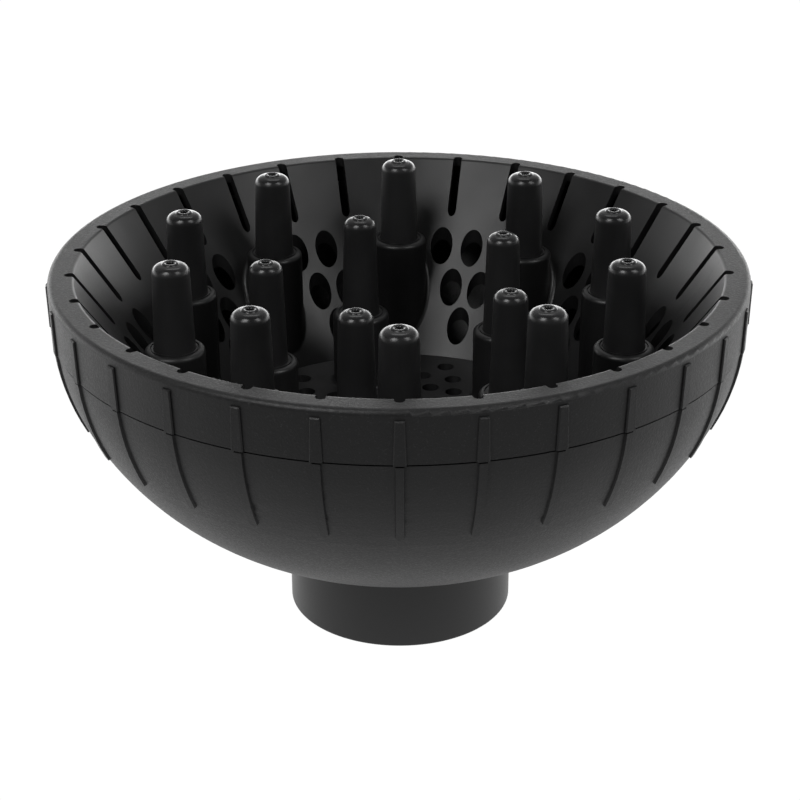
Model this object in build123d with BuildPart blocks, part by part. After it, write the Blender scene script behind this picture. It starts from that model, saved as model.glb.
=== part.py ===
from build123d import *
import os
from math import acos, cos, degrees, radians, sin

# Finger diffuser for a hair dryer: a wide two-part bowl on a short neck, with hollow air fingers
# standing inside it.  It stands on its neck: origin at the centre of the neck's mouth, +Z up.
# All sizes are in millimetres.

# ---- driving dimensions -------------------------------------------------------------------------
rim_r = 80.0              # outer radius of the rim, the widest part of the object
rim_z = 87.0              # height of the rim's flat top
rim_fillet = 1.3          # round between the rim's top and its side
lip_fillet = 0.8          # round between the rim's top and the basin
lip_r = 74.2              # radius where the basin's cone would meet the rim's top

band_foot_r = 79.7        # the band draws in slightly towards the seam
band_inner_r = 77.3
band_foot_z = 75.0
rim_plate = 2.4           # thickness of the rim's top

cone_slope = 0.70         # basin radius lost per millimetre of depth
cone_wall = 2.44          # basin wall, measured horizontally
floor_z = 44.0            # top of the perforated floor
floor_thick = 1.95
seat_play = 0.2           # the floor drops into its seat with this radial play
seat_ledge = 3.0
seat_skirt = 2.3
skirt_drop = 1.8

seam_z = 74.6             # top of the rear bowl's outer edge
seam_r = 79.5
land_z = 74.9             # the front turns on this inner land, just under the band
land_r = 78.5
belly_radius = 53.0       # rear bowl profile: a belly arc, then a flatter base arc
base_radius = 69.0
seam_angle = 5.7          # tilt of the wall at the seam, in degrees from vertical
knuckle_angle = 31.0      # tilt where the belly arc runs into the base arc
bowl_wall = 2.2

spigot_r = 77.0           # ring standing up from the bowl, which the band turns around
spigot_wall = 2.0
spigot_foot_z = 67.0
spigot_top_z = 80.5

lug_count = 3             # bayonet between the two halves
lug_first_angle = 30.0
lug_half_angle = 3.0
lug_z = 76.6
lug_height = 1.8
lug_reach_r = 75.6
bayonet_turn = 12.0
bayonet_play = 0.3        # play around a lug, in millimetres and in degrees
bayonet_cut_depth = 3.0   # how far inwards the lugs' slots are cut, which is through the spigot

neck_r = 26.7
neck_bore_r = 24.8
neck_bore_length = 28.0   # the dryer's nozzle goes in this far, up to a stop
neck_top_z = 30.0
neck_stop_r = 23.0
neck_round = 0.6
socket_wall = 2.0         # socket in the rear bowl that the neck is bonded into
socket_play = 0.05
joint_play = 0.05         # gap between pieces that are pressed or bonded together

baffle_r = 18.0
baffle_dip = 1.4
baffle_thick = 1.6
baffle_arm = 4.0
baffle_arm_count = 3
baffle_ring_inset = 1.5   # the baffle's ring reaches this far inside the neck socket

rib_count = 30            # grip ribs, in line across the seam
rib_raise = 0.55
rib_top_width = 2.1
rib_foot_width = 2.75
bowl_rib_draft = 0.2      # each side of a bowl rib leans in by this much from its root to its top
rib_top_z = 84.9
rib_bevel = 0.25
rib_end_round = 0.8
bowl_rib_sweep = 22.2     # degrees of the belly arc that a bowl rib covers, down from the seam
rib_bed = 0.8             # how deep a rib is rooted in the wall

slot_inner_r = 65.4       # radial air slots, cut straight down through the rim and the basin wall
slot_outer_r = 76.15
slot_width = 2.2

wall_hole_r = 2.85        # air holes in the basin wall, ten triangles of six between the bosses
wall_hole_rows = [(60.8, (-7.5, 0.0, 7.5)), (54.6, (-3.8, 3.8)), (48.9, (0.0,))]
floor_hole_r = 2.1        # air holes in the floor: ring radius, number of holes, turn of the ring
floor_hole_rings = [(38.0, 25, 0.0), (31.5, 25, 7.2), (25.0, 25, 0.0), (18.5, 15, 12.0),
                    (12.2, 10, 0.0), (6.0, 5, 36.0)]

boss_r = 6.9              # round bosses that carry the fingers
boss_bore_r = 5.9
boss_plate = 2.2
boss_round = 1.1
boss_root = 1.0           # round between a boss and the surface that it stands on
groove_r = 5.45           # shallow groove in the boss, around a finger's foot
groove_size = 0.3

finger_play = 0.1         # radial gap between a finger and the hole in its boss
finger_wall = 1.4
flange_r = 5.7            # flange that holds a finger from below
flange_thick = 2.0
tip_round = 2.0           # round between a finger's side and its nearly flat top
tip_fall = 0.45           # how much the top falls from the lip out to the side
tip_lip_r = 2.0           # raised lip around the air hole in the tip
tip_lip_height = 0.3
tip_hole_r = 0.85
tip_thick = 1.6

outer_ring_r = 53.2
outer_count = 10
outer_start = 90.0
outer_boss_z = 72.8
outer_tip_z = 93.3
outer_foot_r = 4.75
outer_shoulder_r = 4.2

inner_ring_r = 30.65
inner_count = 5
inner_start = 36.0
inner_boss_z = 62.3
inner_tip_z = 87.0
inner_foot_r = 4.5
inner_shoulder_r = 3.85

# ---- worked out from the above --------------------------------------------------------------------
cone_foot_r = lip_r - cone_slope * (rim_z - floor_z)
seat_z = floor_z - floor_thick - joint_play
skirt_z = seat_z - skirt_drop
skirt_r = cone_foot_r + seat_skirt
belly_centre = (seam_r - belly_radius * cos(radians(seam_angle)),
                seam_z + belly_radius * sin(radians(seam_angle)))
base_centre = (belly_centre[0] - (base_radius - belly_radius) * cos(radians(knuckle_angle)),
               belly_centre[1] + (base_radius - belly_radius) * sin(radians(knuckle_angle)))
socket_r = neck_r + socket_play
wall_hole_start = outer_start - 180 / outer_count

os.makedirs("parts", exist_ok=True)


def cone_r(z, wall=0.0):
    """Radius of the basin's cone at height z; wall moves it outwards."""
    return lip_r - cone_slope * (rim_z - z) + wall


def cone_z(r, wall=0.0):
    """Height of the basin's cone at radius r."""
    return rim_z - (lip_r + wall - r) / cone_slope


def lies_on_cone(edge):
    """True for an edge on the basin's cone that isn't one of the cone's own round ends."""
    points = [edge @ 0, edge @ 0.3, edge @ 0.6]
    on_surface = all(abs(cone_r(point.Z) - (point.X**2 + point.Y**2)**0.5) < 0.01 for point in points)
    return on_surface and max(point.Z for point in points) - min(point.Z for point in points) > 1


def on_belly(angle, inset=0.0):
    """Point of the belly arc where the wall tilts by this angle from vertical."""
    arc = belly_radius - inset
    return (belly_centre[0] + arc * cos(radians(angle)), belly_centre[1] - arc * sin(radians(angle)))


def ring_sector(inner_r, outer_r, start, size):
    """Part of a flat ring, between two radii, from a start angle through size degrees."""
    with BuildSketch(mode=Mode.PRIVATE) as sector:
        with BuildLine():
            inner_arc = CenterArc((0, 0), inner_r, start, size)
            outer_arc = CenterArc((0, 0), outer_r, start, size)
            Line(inner_arc @ 0, outer_arc @ 0)
            Line(inner_arc @ 1, outer_arc @ 1)
        make_face()
    return sector.sketch


# ---- grip ribs, made once for the front and added all round ------------------------------------------
band_lean = (rim_r - band_foot_r) / (rim_z - rim_fillet - band_foot_z)
band_face = Plane(origin=(0, rib_bed - band_foot_r, band_foot_z), x_dir=(1, 0, 0),
                  z_dir=(0, -1, -band_lean))
with BuildPart() as band_rib:
    with BuildSketch(band_face):
        with BuildLine():
            Polyline((-rib_foot_width / 2, 0), (rib_foot_width / 2, 0),
                     (rib_top_width / 2, rib_top_z - band_foot_z),
                     (-rib_top_width / 2, rib_top_z - band_foot_z), close=True)
        make_face()
    extrude(amount=rib_bed + rib_raise)
    outer_face = band_rib.faces().sort_by(Axis.Y)[0]
    chamfer(outer_face.edges().sort_by(Axis.Z)[1:], rib_bevel)

seam_point = on_belly(seam_angle)
rib_start = Plane(origin=(0, -seam_point[0], seam_point[1]), x_dir=(1, 0, 0),
                  z_dir=(0, sin(radians(seam_angle)), -cos(radians(seam_angle))))
belly_axis = Axis((0, -belly_centre[0], belly_centre[1]), (1, 0, 0))
with BuildPart() as bowl_rib:
    with BuildSketch(rib_start):
        with BuildLine():
            Polyline((-rib_top_width / 2 - bowl_rib_draft, -rib_bed),
                     (rib_top_width / 2 + bowl_rib_draft, -rib_bed),
                     (rib_top_width / 2 - bowl_rib_draft, rib_raise),
                     (bowl_rib_draft - rib_top_width / 2, rib_raise), close=True)
        make_face()
    revolve(axis=belly_axis, revolution_arc=bowl_rib_sweep)
    lower_end = bowl_rib.faces().sort_by(Axis.Z)[0]
    fillet(lower_end.edges().filter_by(lambda edge: abs(edge.center().X) > 0.5), rib_end_round)

# ---- front shell: rim, band, basin wall and outer bosses --------------------------------------------
with BuildPart() as front_shell:
    # solid blank up to the rim, with the band outside
    with BuildSketch(Plane.XZ):
        with BuildLine():
            Polyline((0, skirt_z), (skirt_r, skirt_z), (skirt_r, cone_z(skirt_r, cone_wall)),
                     (cone_r(rim_z - rim_plate, cone_wall), rim_z - rim_plate),
                     (band_inner_r, rim_z - rim_plate), (band_inner_r, band_foot_z),
                     (band_foot_r, band_foot_z), (rim_r, rim_z - rim_fillet))
            RadiusArc((rim_r, rim_z - rim_fillet), (rim_r - rim_fillet, rim_z), -rim_fillet)
            Polyline((rim_r - rim_fillet, rim_z), (0, rim_z), (0, skirt_z))
        make_face()
    revolve(axis=Axis.Z)

    # basin
    with BuildSketch(Plane.XZ):
        with BuildLine():
            Polyline((0, floor_z), (cone_foot_r, floor_z), (lip_r, rim_z), (0, rim_z), (0, floor_z))
        make_face()
    revolve(axis=Axis.Z, mode=Mode.SUBTRACT)
    lip = front_shell.edges().filter_by(GeomType.CIRCLE).group_by(Axis.Z)[-1].sort_by(SortBy.RADIUS)[0]
    fillet(lip, lip_fillet)

    # bosses of the outer fingers, rising out of the cone
    with BuildSketch(Plane.XY.offset(floor_z - floor_thick)):
        with PolarLocations(outer_ring_r, outer_count, start_angle=outer_start):
            Circle(boss_r)
    extrude(amount=outer_boss_z - floor_z + floor_thick)
    boss_roots = [edge for edge in front_shell.edges() if lies_on_cone(edge)]
    fillet(boss_roots, boss_root)
    boss_tops = [edge for edge in front_shell.edges().filter_by(GeomType.CIRCLE)
                 if abs(edge.radius - boss_r) < 0.01 and abs(edge.center().Z - outer_boss_z) < 0.01]
    fillet(boss_tops, boss_round)

    # cut the bosses off flush behind the cone
    with BuildSketch(Plane.XZ):
        with BuildLine():
            Polyline((skirt_r, skirt_z), (skirt_r, cone_z(skirt_r, cone_wall)),
                     (band_inner_r - 2, cone_z(band_inner_r - 2, cone_wall)), (band_inner_r - 2, skirt_z),
                     (skirt_r, skirt_z))
        make_face()
    revolve(axis=Axis.Z, mode=Mode.SUBTRACT)

    # seat for the floor, and the opening under it
    with BuildSketch(Plane.XY.offset(seat_z)):
        Circle(cone_foot_r)
    extrude(amount=floor_z - seat_z, mode=Mode.SUBTRACT)
    with BuildSketch(Plane.XY.offset(skirt_z)):
        Circle(cone_foot_r - seat_ledge)
    extrude(amount=seat_z - skirt_z, mode=Mode.SUBTRACT)

    # bore and finger hole in each boss
    with BuildSketch(Plane.XY.offset(skirt_z)):
        with PolarLocations(outer_ring_r, outer_count, start_angle=outer_start):
            Circle(boss_bore_r)
    extrude(amount=outer_boss_z - boss_plate - skirt_z, mode=Mode.SUBTRACT)
    with BuildSketch(Plane.XY.offset(outer_boss_z - boss_plate)):
        with PolarLocations(outer_ring_r, outer_count, start_angle=outer_start):
            Circle(outer_foot_r + finger_play)
    extrude(amount=boss_plate, mode=Mode.SUBTRACT)
    with BuildSketch(Plane.XY.offset(outer_boss_z)):
        with PolarLocations(outer_ring_r, outer_count, start_angle=outer_start):
            Circle(groove_r + groove_size / 2)
            Circle(groove_r - groove_size / 2, mode=Mode.SUBTRACT)
    extrude(amount=-groove_size, mode=Mode.SUBTRACT)

    # air holes in the wall, ten triangles between the bosses
    with BuildSketch(Plane.XY.offset(skirt_z)):
        for row_r, offsets in wall_hole_rows:
            for offset_angle in offsets:
                with PolarLocations(row_r, outer_count, start_angle=wall_hole_start + offset_angle):
                    Circle(wall_hole_r)
    extrude(amount=rim_z - rim_plate - skirt_z, mode=Mode.SUBTRACT)

    # radial air slots, through the rim's inner edge and the upper wall
    with BuildSketch(Plane.XY.offset(floor_z)):
        with PolarLocations((slot_inner_r + slot_outer_r) / 2, rib_count, start_angle=90):
            SlotOverall(slot_outer_r - slot_inner_r, slot_width)
    extrude(amount=rim_z - floor_z, mode=Mode.SUBTRACT)

    # bayonet lugs inside the band
    with BuildSketch(Plane.XY.offset(lug_z)):
        for lug in range(lug_count):
            lug_angle = lug_first_angle + lug * 360 / lug_count
            add(ring_sector(lug_reach_r, band_inner_r + 0.5, lug_angle - lug_half_angle,
                            2 * lug_half_angle))
    extrude(amount=lug_height)

    with PolarLocations(0, rib_count):
        add(band_rib.part)
front_shell.part.label = "front_shell"
export_step(front_shell.part, "parts/front_shell.step")


# ---- perforated floor with the inner bosses ---------------------------------------------------------
with BuildPart() as floor_grille:
    with BuildSketch(Plane.XY.offset(floor_z - floor_thick)):
        Circle(cone_foot_r - seat_play)
    extrude(amount=floor_thick)
    with BuildSketch(Plane.XY.offset(floor_z)):
        with PolarLocations(inner_ring_r, inner_count, start_angle=inner_start):
            Circle(boss_r)
    extrude(amount=inner_boss_z - floor_z)
    boss_edges = floor_grille.edges().filter_by(GeomType.CIRCLE).filter_by(
        lambda edge: abs(edge.radius - boss_r) < 0.01)
    fillet(boss_edges.group_by(Axis.Z)[-1], boss_round)
    fillet(boss_edges.group_by(Axis.Z)[0], boss_root)

    # bore and finger hole in each boss
    with BuildSketch(Plane.XY.offset(floor_z - floor_thick)):
        with PolarLocations(inner_ring_r, inner_count, start_angle=inner_start):
            Circle(boss_bore_r)
    extrude(amount=inner_boss_z - boss_plate - floor_z + floor_thick, mode=Mode.SUBTRACT)
    with BuildSketch(Plane.XY.offset(inner_boss_z - boss_plate)):
        with PolarLocations(inner_ring_r, inner_count, start_angle=inner_start):
            Circle(inner_foot_r + finger_play)
    extrude(amount=boss_plate, mode=Mode.SUBTRACT)
    with BuildSketch(Plane.XY.offset(inner_boss_z)):
        with PolarLocations(inner_ring_r, inner_count, start_angle=inner_start):
            Circle(groove_r + groove_size / 2)
            Circle(groove_r - groove_size / 2, mode=Mode.SUBTRACT)
    extrude(amount=-groove_size, mode=Mode.SUBTRACT)

    # air holes on rings, left out where a boss stands
    boss_centres = [Vector(inner_ring_r, 0).rotate(Axis.Z, inner_start + boss * 360 / inner_count)
                    for boss in range(inner_count)]
    boss_keepout = boss_r + boss_root + floor_hole_r + 0.3
    for ring_r, hole_count, turn in floor_hole_rings:
        for hole in range(hole_count):
            centre = Vector(ring_r, 0).rotate(Axis.Z, turn + hole * 360 / hole_count)
            if min((centre - boss).length for boss in boss_centres) > boss_keepout:
                with Locations((centre.X, centre.Y, floor_z)):
                    Hole(floor_hole_r, depth=floor_thick)
floor_grille.part.label = "floor_grille"
export_step(floor_grille.part, "parts/floor_grille.step")


# ---- fingers: hollow, with an air hole in the rounded tip ------------------------------------------------
def make_finger(ring_r, angle, boss_z, tip_z, foot_r, shoulder_r):
    """One finger standing in its boss, held from below by a flange."""
    flange_top = boss_z - boss_plate - joint_play
    flange_foot = flange_top - flange_thick
    lip_foot = tip_z - tip_lip_height
    shoulder_z = lip_foot - tip_fall
    with BuildPart() as finger:
        with BuildSketch(Plane.XZ):
            with BuildLine():
                Polyline((foot_r - finger_wall, flange_foot), (flange_r, flange_foot),
                         (flange_r, flange_top), (foot_r, flange_top), (foot_r, boss_z),
                         (shoulder_r, shoulder_z), (tip_lip_r, lip_foot))
                ThreePointArc((tip_lip_r, lip_foot), ((tip_lip_r + tip_hole_r) / 2, tip_z),
                              (tip_hole_r, lip_foot))
                Polyline((tip_hole_r, lip_foot), (tip_hole_r, tip_z - tip_thick),
                         (shoulder_r - finger_wall, tip_z - 2 * tip_thick),
                         (foot_r - finger_wall, flange_foot))
            make_face()
        revolve(axis=Axis.Z)
        shoulder = finger.edges().filter_by(GeomType.CIRCLE).filter_by(
            lambda edge: abs(edge.radius - shoulder_r) < 0.01)
        fillet(shoulder, tip_round)
    return Rot(0, 0, angle) * Pos(ring_r, 0, 0) * finger.part


for finger_number in range(outer_count):
    finger_angle = outer_start + finger_number * 360 / outer_count
    outer_finger = make_finger(outer_ring_r, finger_angle, outer_boss_z, outer_tip_z, outer_foot_r,
                               outer_shoulder_r)
    outer_finger.label = f"outer_finger_{finger_number + 1:02d}"
    export_step(outer_finger, f"parts/{outer_finger.label}.step")

for finger_number in range(inner_count):
    finger_angle = inner_start + finger_number * 360 / inner_count
    inner_finger = make_finger(inner_ring_r, finger_angle, inner_boss_z, inner_tip_z, inner_foot_r,
                               inner_shoulder_r)
    inner_finger.label = f"inner_finger_{finger_number + 1}"
    export_step(inner_finger, f"parts/{inner_finger.label}.step")


# ---- rear bowl ----------------------------------------------------------------------------------------
def bowl_arcs(inset, first_angle, last_r):
    """Wall line of the rear bowl, from a point on the belly arc down to the base at radius last_r."""
    last_angle = degrees(acos((last_r - base_centre[0]) / (base_radius - inset)))
    belly = CenterArc(belly_centre, belly_radius - inset, -first_angle, first_angle - knuckle_angle)
    base = CenterArc(base_centre, base_radius - inset, -knuckle_angle, knuckle_angle - last_angle)
    return belly, base


with BuildPart() as rear_bowl:
    with BuildSketch(Plane.XZ):
        with BuildLine():
            outside = bowl_arcs(0, seam_angle, socket_r)
            inside = bowl_arcs(bowl_wall, seam_angle + 2, socket_r + socket_wall)
            Polyline(outside[1] @ 1, (socket_r, neck_top_z), (socket_r + socket_wall, neck_top_z),
                     inside[1] @ 1)
            Polyline(inside[0] @ 0, (spigot_r - spigot_wall / 2, land_z), (land_r, land_z),
                     (land_r, seam_z), outside[0] @ 0)
        make_face()
    revolve(axis=Axis.Z)

    # spigot that the band turns around
    with BuildSketch(Plane.XZ):
        with BuildLine():
            Polyline((spigot_r - spigot_wall, spigot_foot_z + spigot_wall),
                     (spigot_r - spigot_wall, spigot_top_z), (spigot_r, spigot_top_z),
                     (spigot_r, seam_z - 1), (spigot_r + 0.5, spigot_foot_z - 1), close=True)
        make_face()
    revolve(axis=Axis.Z)

    # bayonet: a run for each lug, and an entry from above at the run's open end
    lug_room = 2 * (lug_half_angle + bayonet_play)
    cut_outer_r = spigot_r + 0.1
    cut_inner_r = spigot_r - bayonet_cut_depth
    for lug in range(lug_count):
        run_start = lug_first_angle + lug * 360 / lug_count - lug_half_angle - bayonet_play
        with BuildSketch(Plane.XY.offset(lug_z - bayonet_play)):
            add(ring_sector(cut_inner_r, cut_outer_r, run_start, lug_room + bayonet_turn))
        extrude(amount=lug_height + 2 * bayonet_play, mode=Mode.SUBTRACT)
        with BuildSketch(Plane.XY.offset(lug_z - bayonet_play)):
            add(ring_sector(cut_inner_r, cut_outer_r, run_start + bayonet_turn, lug_room))
        extrude(amount=spigot_top_z - lug_z + 2 * bayonet_play, mode=Mode.SUBTRACT)

    with PolarLocations(0, rib_count):
        add(bowl_rib.part)
rear_bowl.part.label = "rear_bowl"
export_step(rear_bowl.part, "parts/rear_bowl.step")

# ---- neck ---------------------------------------------------------------------------------------------
with BuildPart() as neck_sleeve:
    with BuildSketch(Plane.XZ):
        with BuildLine():
            Polyline((neck_bore_r, 0), (neck_r, 0), (neck_r, neck_top_z), (neck_stop_r, neck_top_z),
                     (neck_stop_r, neck_bore_length), (neck_bore_r, neck_bore_length),
                     (neck_bore_r, 0))
        make_face()
    revolve(axis=Axis.Z)
    mouth = neck_sleeve.edges().filter_by(GeomType.CIRCLE).group_by(Axis.Z)[0]
    fillet(mouth, neck_round)
neck_sleeve.part.label = "neck_sleeve"
export_step(neck_sleeve.part, "parts/neck_sleeve.step")

# ---- air baffle ---------------------------------------------------------------------------------------
baffle_z = neck_top_z + joint_play
baffle_ring_r = socket_r - baffle_ring_inset
with BuildPart() as air_baffle:
    with BuildSketch(Plane.XY.offset(baffle_z)):
        Circle(socket_r + socket_wall)
        Circle(baffle_ring_r, mode=Mode.SUBTRACT)
        with PolarLocations((baffle_r + baffle_ring_r) / 2, baffle_arm_count, start_angle=90):
            Rectangle(socket_r - baffle_r, baffle_arm)
    extrude(amount=baffle_thick)
    with BuildSketch(Plane.XZ):
        with BuildLine():
            Polyline((0, baffle_z - baffle_dip), (baffle_r, baffle_z), (baffle_r, baffle_z + baffle_thick),
                     (0, baffle_z + baffle_thick), (0, baffle_z - baffle_dip))
        make_face()
    revolve(axis=Axis.Z)
air_baffle.part.label = "air_baffle"
export_step(air_baffle.part, "parts/air_baffle.step")
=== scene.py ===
from math import cos, pi, radians, sin

import bpy
from mathutils import Matrix, Vector


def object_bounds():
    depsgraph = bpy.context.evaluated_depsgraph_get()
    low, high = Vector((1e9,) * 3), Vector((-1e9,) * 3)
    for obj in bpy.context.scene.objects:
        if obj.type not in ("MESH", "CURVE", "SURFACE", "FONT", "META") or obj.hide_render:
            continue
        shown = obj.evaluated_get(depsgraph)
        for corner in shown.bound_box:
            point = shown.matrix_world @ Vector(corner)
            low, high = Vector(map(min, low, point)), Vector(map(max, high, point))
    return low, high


# Finger diffuser for a hair dryer, standing on its neck.  The CAD nodes carry every shape; this
# script gives them their moulded plastic finishes, the studio and the camera.

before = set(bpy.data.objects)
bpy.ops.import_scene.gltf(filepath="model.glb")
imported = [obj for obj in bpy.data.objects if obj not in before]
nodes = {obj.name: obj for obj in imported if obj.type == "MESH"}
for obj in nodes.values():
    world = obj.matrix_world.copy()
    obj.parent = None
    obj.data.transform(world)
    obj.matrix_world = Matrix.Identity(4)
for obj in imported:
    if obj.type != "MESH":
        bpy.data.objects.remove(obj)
cad_box = [list(corner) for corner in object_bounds()]
low, high = (Vector(corner) for corner in cad_box)
scene = bpy.context.scene


# ---- node helpers ---------------------------------------------------------------------------------
def new_material(name):
    """A new node material, with its node tree and its shader."""
    material = bpy.data.materials.new(name)
    material.use_nodes = True
    tree = material.node_tree
    tree.nodes.clear()
    output = tree.nodes.new("ShaderNodeOutputMaterial")
    shader = tree.nodes.new("ShaderNodeBsdfPrincipled")
    tree.links.new(shader.outputs[0], output.inputs["Surface"])
    return material, tree, shader


def noise(tree, scale, detail, roughness, where):
    node = tree.nodes.new("ShaderNodeTexNoise")
    node.inputs["Scale"].default_value = scale
    node.inputs["Detail"].default_value = detail
    node.inputs["Roughness"].default_value = roughness
    tree.links.new(where, node.inputs["Vector"])
    return node.outputs["Fac"]


def cells(tree, scale, where):
    node = tree.nodes.new("ShaderNodeTexVoronoi")
    node.feature = "SMOOTH_F1"
    node.inputs["Scale"].default_value = scale
    tree.links.new(where, node.inputs["Vector"])
    return node.outputs["Distance"]


def ramp(tree, source, low_in, high_in, low_out, high_out):
    """Maps a range of one value onto another, smoothly and clamped."""
    node = tree.nodes.new("ShaderNodeMapRange")
    node.interpolation_type = "SMOOTHSTEP"
    for socket, number in zip(("From Min", "From Max", "To Min", "To Max"),
                              (low_in, high_in, low_out, high_out)):
        node.inputs[socket].default_value = number
    tree.links.new(source, node.inputs["Value"])
    return node.outputs["Result"]


def combine(tree, operation, first, second):
    """Adds or multiplies two values, either of which may be a plain number."""
    node = tree.nodes.new("ShaderNodeMath")
    node.operation = operation
    for socket, value in zip(node.inputs, (first, second)):
        if isinstance(value, (int, float)):
            socket.default_value = value
        else:
            tree.links.new(value, socket)
    return node.outputs[0]


def mix_colour(tree, share, first, second):
    node = tree.nodes.new("ShaderNodeMix")
    node.data_type = "RGBA"
    tree.links.new(share, node.inputs["Factor"])
    for socket, value in zip([s for s in node.inputs if s.type == "RGBA"], (first, second)):
        if isinstance(value, tuple):
            socket.default_value = (*value, 1)
        else:
            tree.links.new(value, socket)
    return [s for s in node.outputs if s.type == "RGBA"][0]


def mix_value(tree, share, first, second):
    node = tree.nodes.new("ShaderNodeMix")
    node.data_type = "FLOAT"
    tree.links.new(share, node.inputs[0])
    for socket, value in zip((node.inputs[2], node.inputs[3]), (first, second)):
        if isinstance(value, (int, float)):
            socket.default_value = value
        else:
            tree.links.new(value, socket)
    return node.outputs[0]


def bump(tree, height, distance):
    node = tree.nodes.new("ShaderNodeBump")
    node.inputs["Strength"].default_value = 1.0
    node.inputs["Distance"].default_value = distance
    tree.links.new(height, node.inputs["Height"])
    return node.outputs["Normal"]


def object_place(tree):
    return tree.nodes.new("ShaderNodeTexCoord").outputs["Object"]


def height_of(tree, place):
    """Height of a point above the object's foot."""
    split = tree.nodes.new("ShaderNodeSeparateXYZ")
    tree.links.new(place, split.inputs[0])
    return split.outputs["Z"]


def radius_of(tree, place):
    """Distance of a point from the object's upright axis."""
    flat = tree.nodes.new("ShaderNodeVectorMath")
    flat.operation = "MULTIPLY"
    flat.inputs[1].default_value = (1, 1, 0)
    tree.links.new(place, flat.inputs[0])
    length = tree.nodes.new("ShaderNodeVectorMath")
    length.operation = "LENGTH"
    tree.links.new(flat.outputs[0], length.inputs[0])
    return length.outputs["Value"]


# ---- finishes -------------------------------------------------------------------------------------
BLACK = (0.0095, 0.0095, 0.0098)
BLACK_WORN = (0.0145, 0.0145, 0.0148)
SPECK = (0.050, 0.050, 0.051)
TEXTURE_DEPTH = 0.00005     # metres of relief in the spark-eroded and in the polished surface
POLISHED_DEPTH = 0.00001
LIP_BLEND = 0.0003          # half the width over which the basin's finish turns into the rim's
CROWN_FOOT, CROWN_HEAD = 0.0018, 0.0008     # below a finger's tip, where its polish starts and is full
CROWN_ROUGHNESS = 0.20


def sparked(tree, place):
    """Spark-eroded mould texture: colour, roughness and height of a fine speckled matt surface."""
    grain = noise(tree, 2100, 3.0, 0.7, place)
    pits = cells(tree, 1700, place)
    drift = noise(tree, 22, 3.0, 0.55, place)
    base = mix_colour(tree, ramp(tree, drift, 0.3, 0.7, 0, 1), BLACK, BLACK_WORN)
    colour = mix_colour(tree, ramp(tree, grain, 0.55, 0.72, 0, 0.6), base, SPECK)
    rough = combine(tree, "ADD", ramp(tree, grain, 0.3, 0.7, 0.40, 0.56),
                    ramp(tree, drift, 0.3, 0.7, -0.03, 0.03))
    height = combine(tree, "ADD", combine(tree, "MULTIPLY", pits, 0.6), grain)
    return colour, rough, height


def satin(tree, place, tone, low_rough, high_rough):
    """Polished mould surface: nearly smooth, with a faint drift in colour and gloss; tone scales
    its colour."""
    drift = noise(tree, 35, 4.0, 0.6, place)
    ripple = noise(tree, 420, 2.0, 0.5, place)
    fine = noise(tree, 2600, 2.0, 0.6, place)
    colour = mix_colour(tree, ramp(tree, drift, 0.3, 0.7, 0, 1),
                        tuple(c * tone for c in BLACK), tuple(c * tone for c in BLACK_WORN))
    rough = combine(tree, "ADD", ramp(tree, drift, 0.25, 0.75, low_rough, high_rough),
                    ramp(tree, fine, 0.3, 0.7, -0.02, 0.02))
    height = combine(tree, "ADD", combine(tree, "MULTIPLY", ripple, 0.5),
                     combine(tree, "MULTIPLY", fine, 0.25))
    return colour, rough, height


def textured_plastic(name):
    material, tree, shader = new_material(name)
    place = object_place(tree)
    colour, rough, height = sparked(tree, place)
    tree.links.new(colour, shader.inputs["Base Color"])
    tree.links.new(rough, shader.inputs["Roughness"])
    tree.links.new(bump(tree, height, TEXTURE_DEPTH), shader.inputs["Normal"])
    return material


def smooth_plastic(name, tone, low_rough, high_rough):
    material, tree, shader = new_material(name)
    place = object_place(tree)
    colour, rough, height = satin(tree, place, tone, low_rough, high_rough)
    tree.links.new(colour, shader.inputs["Base Color"])
    tree.links.new(rough, shader.inputs["Roughness"])
    tree.links.new(bump(tree, height, POLISHED_DEPTH), shader.inputs["Normal"])
    return material


def rim_and_basin_plastic(name, edge):
    """Textured outside and rim, polished basin; they meet at radius edge, on the basin's lip."""
    material, tree, shader = new_material(name)
    place = object_place(tree)
    outside = ramp(tree, radius_of(tree, place), edge - LIP_BLEND, edge + LIP_BLEND, 0, 1)
    rough_skin = sparked(tree, place)
    sleek_skin = satin(tree, place, 0.9, 0.36, 0.44)
    tree.links.new(mix_colour(tree, outside, sleek_skin[0], rough_skin[0]), shader.inputs["Base Color"])
    tree.links.new(mix_value(tree, outside, sleek_skin[1], rough_skin[1]), shader.inputs["Roughness"])
    height = mix_value(tree, outside, combine(tree, "MULTIPLY", sleek_skin[2], 0.2), rough_skin[2])
    tree.links.new(bump(tree, height, TEXTURE_DEPTH), shader.inputs["Normal"])
    return material


def finger_plastic(name, tip_height):
    """Satin finger with a polished crown; its black is painted lighter than the same plastic elsewhere,
    standing in for light on the fingers.
    """
    material, tree, shader = new_material(name)
    place = object_place(tree)
    upright = height_of(tree, place)
    # tone 1.7: painted lighter than the basin's 0.9, a lit copy of the same black plastic
    colour, rough, height = satin(tree, place, 1.7, 0.34, 0.42)
    crown = ramp(tree, upright, tip_height - CROWN_FOOT, tip_height - CROWN_HEAD, 0, 1)
    tree.links.new(colour, shader.inputs["Base Color"])
    tree.links.new(mix_value(tree, crown, rough, CROWN_ROUGHNESS), shader.inputs["Roughness"])
    tree.links.new(bump(tree, height, POLISHED_DEPTH), shader.inputs["Normal"])
    return material


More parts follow.
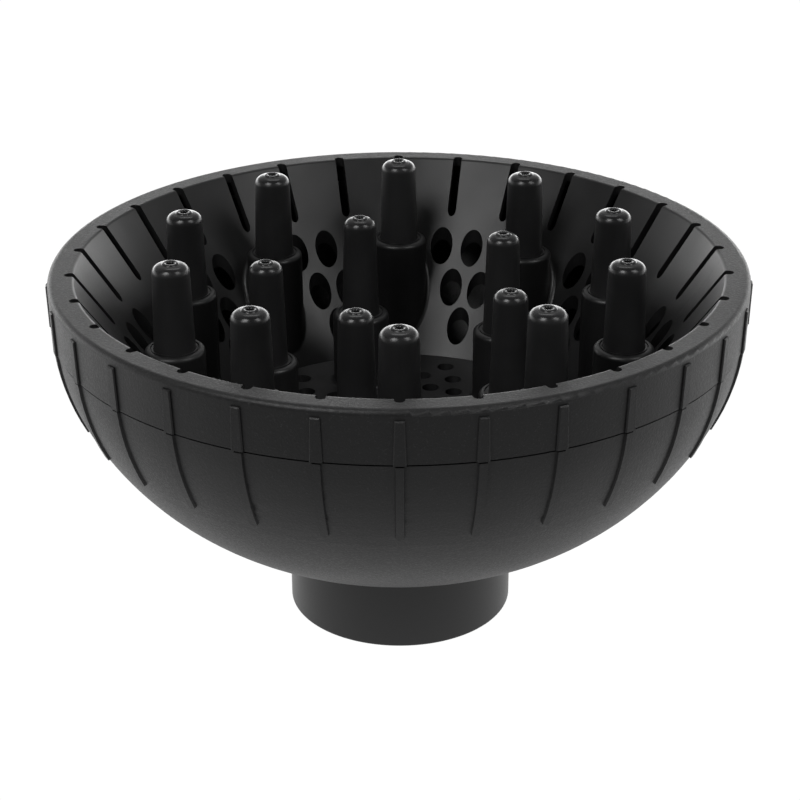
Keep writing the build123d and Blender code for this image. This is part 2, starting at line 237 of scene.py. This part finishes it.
lip_radius = 0.0745
outer_tip_height = 0.0933
inner_tip_height = 0.0870
finishes = {
    "front_shell": rim_and_basin_plastic("textured_rim_polished_basin", lip_radius),
    "rear_bowl": textured_plastic("textured_bowl"),
    "neck_sleeve": smooth_plastic("satin_neck", 1.0, 0.36, 0.44),
    "air_baffle": smooth_plastic("satin_baffle", 0.9, 0.40, 0.48),
    # floor grille: tone 1.4 is painted lighter than the basin's black of the same plastic, standing in for
    # light on the floor
    "floor_grille": smooth_plastic("polished_floor", 1.4, 0.30, 0.38),
}
finger_finishes = {
    "outer": finger_plastic("satin_outer_finger", outer_tip_height),
    "inner": finger_plastic("satin_inner_finger", inner_tip_height),
}
for name, node in nodes.items():
    finish = finishes[name] if name in finishes else finger_finishes[name.split("_")[0]]
    if not node.data.materials:
        node.data.materials.append(finish)
    for slot in range(len(node.data.materials)):
        node.data.materials[slot] = finish


# ---- studio ---------------------------------------------------------------------------------------
def emission_material(name, colour, strength):
    material = bpy.data.materials.new(name)
    material.use_nodes = True
    tree = material.node_tree
    tree.nodes.clear()
    output = tree.nodes.new("ShaderNodeOutputMaterial")
    glow = tree.nodes.new("ShaderNodeEmission")
    glow.inputs["Color"].default_value = (*colour, 1)
    glow.inputs["Strength"].default_value = strength
    tree.links.new(glow.outputs[0], output.inputs["Surface"])
    return material


def hide_from_light(thing):
    """Seen by the camera only, so that the white backdrop neither lights nor mirrors in the object."""
    thing.visible_diffuse = False
    thing.visible_glossy = False
    thing.visible_shadow = False
    thing.visible_transmission = False


BACKDROP_GLOW = 1.02        # just over white
FLOOR_RADIUS = 3.0
BACKDROP_RADIUS = 5.0
SHEET_RADIUS = 1.5
SHEET_DROP = 0.0005         # how far the lit sheet lies below the floor
white = emission_material("backdrop_white", (1, 1, 1), BACKDROP_GLOW)

bpy.ops.mesh.primitive_circle_add(vertices=96, radius=FLOOR_RADIUS, fill_type="NGON",
                                  location=(0, 0, low.z))
floor = bpy.context.object
floor.name = "floor"
floor.data.materials.append(white)
hide_from_light(floor)

bpy.ops.mesh.primitive_uv_sphere_add(segments=64, ring_count=32, radius=BACKDROP_RADIUS, location=(0, 0, 0))
backdrop = bpy.context.object
backdrop.name = "backdrop"
backdrop.data.materials.append(white)
hide_from_light(backdrop)

# a white sheet under the object that glows, its glow painted brighter towards the back as if lit from
# behind (painted light falloff); it lights the object, and the camera doesn't see it
bounce_material = emission_material("glowing_sheet", (1, 1, 1), 1.0)
bounce_tree = bounce_material.node_tree
bounce_place = bounce_tree.nodes.new("ShaderNodeSeparateXYZ")
bounce_tree.links.new(object_place(bounce_tree), bounce_place.inputs[0])
bounce_tree.links.new(ramp(bounce_tree, bounce_place.outputs["Y"], -0.28, 0.32, 0.23, 1.6),
                      bounce_tree.nodes["Emission"].inputs["Strength"])
bpy.ops.mesh.primitive_circle_add(vertices=96, radius=SHEET_RADIUS, fill_type="NGON",
                                  location=(0, 0, low.z - SHEET_DROP))
bounce = bpy.context.object
bounce.name = "bounce"
bounce.data.materials.append(bounce_material)
bounce.visible_camera = False

middle = (low + high) / 2


def softbox(name, place, width, height, radiance):
    """A rectangular area light of even brightness, aimed at the object's middle."""
    data = bpy.data.lights.new(name, "AREA")
    data.shape = "RECTANGLE"
    data.size, data.size_y = width, height
    data.energy = radiance * pi * width * height
    lamp = bpy.data.objects.new(name, data)
    scene.collection.objects.link(lamp)
    lamp.location = place
    lamp.rotation_mode = "QUATERNION"
    lamp.rotation_quaternion = (middle - place).to_track_quat("-Z", "Y")


def around(azimuth, elevation, distance):
    """A point seen from the object's middle in that direction; azimuth 0 is +X and 90 is +Y."""
    turn, rise = radians(azimuth), radians(elevation)
    return middle + distance * Vector((cos(turn) * cos(rise), sin(turn) * cos(rise), sin(rise)))


softbox("left_box", around(233, 47, 1.0), 0.36, 0.55, 6.0)
softbox("top_box", around(90, 62, 1.0), 0.5, 0.25, 1.6)
softbox("right_box", around(328, 46, 1.0), 0.32, 0.55, 3.7)

# the rest of the studio: a bright sweep low behind the object, dark overhead and in front
world = bpy.data.worlds.new("studio")
world.use_nodes = True
world_tree = world.node_tree
direction = world_tree.nodes.new("ShaderNodeSeparateXYZ")
world_tree.links.new(world_tree.nodes.new("ShaderNodeTexCoord").outputs["Generated"],
                     direction.inputs[0])
behind = ramp(world_tree, direction.outputs["Y"], -0.35, 0.9, 0.03, 4.2)
below_roof = ramp(world_tree, direction.outputs["Z"], 0.0, 0.42, 1.0, 0.09)
sky = world_tree.nodes["Background"]
sky.inputs["Color"].default_value = (1, 1, 1, 1)
world_tree.links.new(combine(world_tree, "MULTIPLY", behind, below_roof), sky.inputs["Strength"])
scene.world = world
scene.view_settings.view_transform = "Standard"

# ---- camera ---------------------------------------------------------------------------------------
CAMERA_ELEVATION = radians(25.2)
CAMERA_DISTANCE = 0.490
CAMERA_AIM_Z = 0.05174
CAMERA_LENS = 93.1
CAMERA_ROLL = radians(-0.226)
CAMERA_SHIFT_X = 0.0006
SENSOR_WIDTH = 36.0

aim = Vector((0, 0, CAMERA_AIM_Z))
back = Vector((0, -cos(CAMERA_ELEVATION), sin(CAMERA_ELEVATION)))
camera_data = bpy.data.cameras.new("camera")
camera_data.lens = CAMERA_LENS
camera_data.sensor_width = SENSOR_WIDTH
camera_data.shift_x = CAMERA_SHIFT_X
camera_data.clip_start, camera_data.clip_end = 0.01, 20.0
camera = bpy.data.objects.new("camera", camera_data)
scene.collection.objects.link(camera)
camera.rotation_mode = "QUATERNION"
camera.location = aim + back * CAMERA_DISTANCE
camera.rotation_quaternion = ((-back).to_track_quat("-Z", "Y")
                              @ Matrix.Rotation(CAMERA_ROLL, 3, "Z").to_quaternion())
scene.camera = camera
